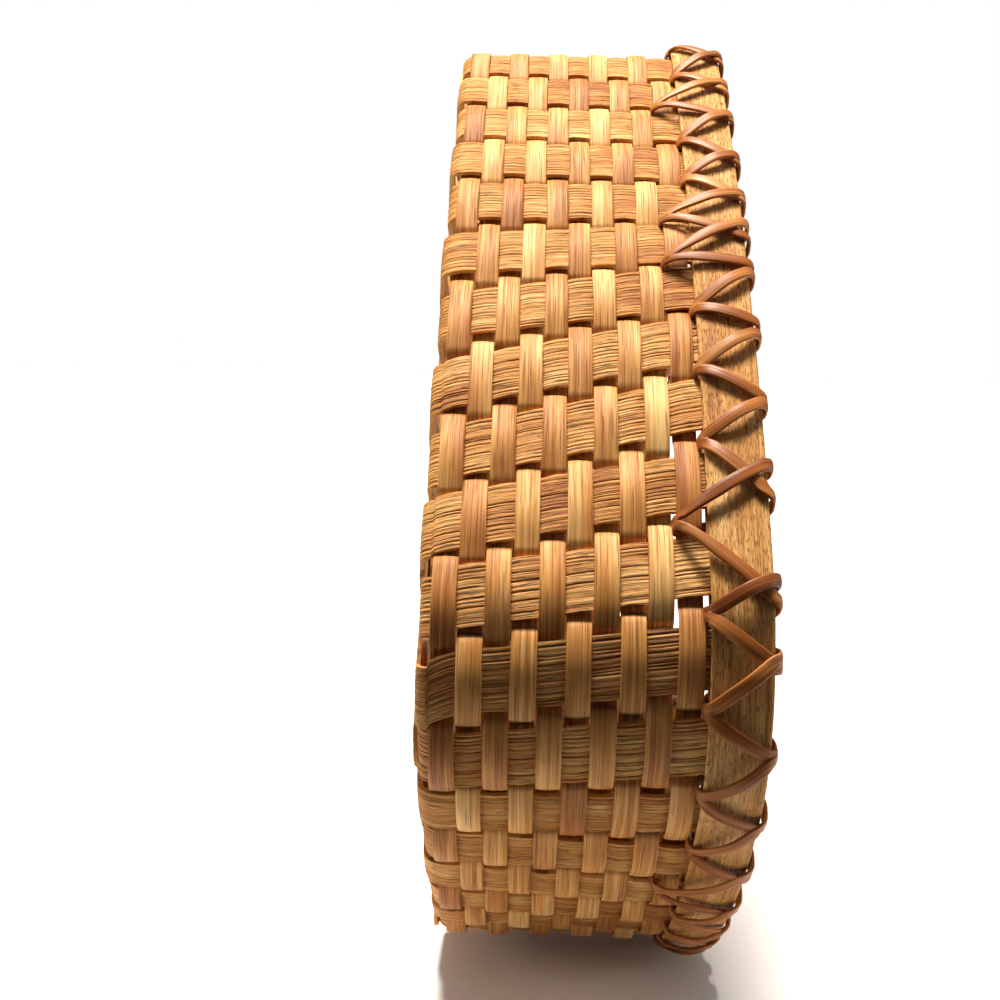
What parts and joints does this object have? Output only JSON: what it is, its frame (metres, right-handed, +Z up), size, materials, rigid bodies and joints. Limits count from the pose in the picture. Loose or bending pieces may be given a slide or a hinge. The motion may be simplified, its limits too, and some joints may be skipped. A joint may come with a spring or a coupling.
{
  "type": "heart-shaped splint basket",
  "caption": "Open heart-shaped basket of flat woven splints, with straight sides, a woven base and double rim bands bound on with crossed cane lashing.",
  "frame": {"origin": "middle of the base, on the surface that the basket stands on", "axes": "+Z up out of the open top, +X across the heart, -Y toward its point and +Y toward its two lobes"},
  "size_m": [0.3383, 0.3015, 0.0905],
  "materials": {
    "splint": "split wood splint, rough grain, unvarnished",
    "weaver": "flat reed, fine straight lines, satin",
    "rim": "flat oval reed, fine dotted vessel lines, satin",
    "lashing": "peeled cane, smooth, slightly glossy"
  },
  "bodies": {
    "root": {"splint_r01": "splint", "splint_r02": "splint", "splint_r03": "splint", "splint_r04": "splint", "splint_r05": "splint", "splint_r06": "splint", "splint_r07": "splint", "splint_r08": "splint", "splint_r09": "splint", "splint_r10": "splint", "splint_r11": "splint", "splint_r12": "splint", "splint_l01": "splint", "splint_l02": "splint", "splint_l03": "splint", "splint_l04": "splint", "splint_l05": "splint", "splint_l06": "splint", "splint_l07": "splint", "splint_l08": "splint", "splint_l09": "splint", "splint_l10": "splint", "splint_l11": "splint", "splint_l12": "splint", "weaver_01": "weaver", "weaver_02": "weaver", "weaver_03": "weaver", "weaver_04": "weaver", "weaver_05": "weaver", "weaver_06": "weaver", "weaver_07": "weaver", "weaver_08": "weaver", "weaver_09": "weaver", "weaver_10": "weaver", "rim_outer": "rim", "rim_inner": "rim", "lashing_first": "lashing", "lashing_second": "lashing"}
  },
  "joints": []
}
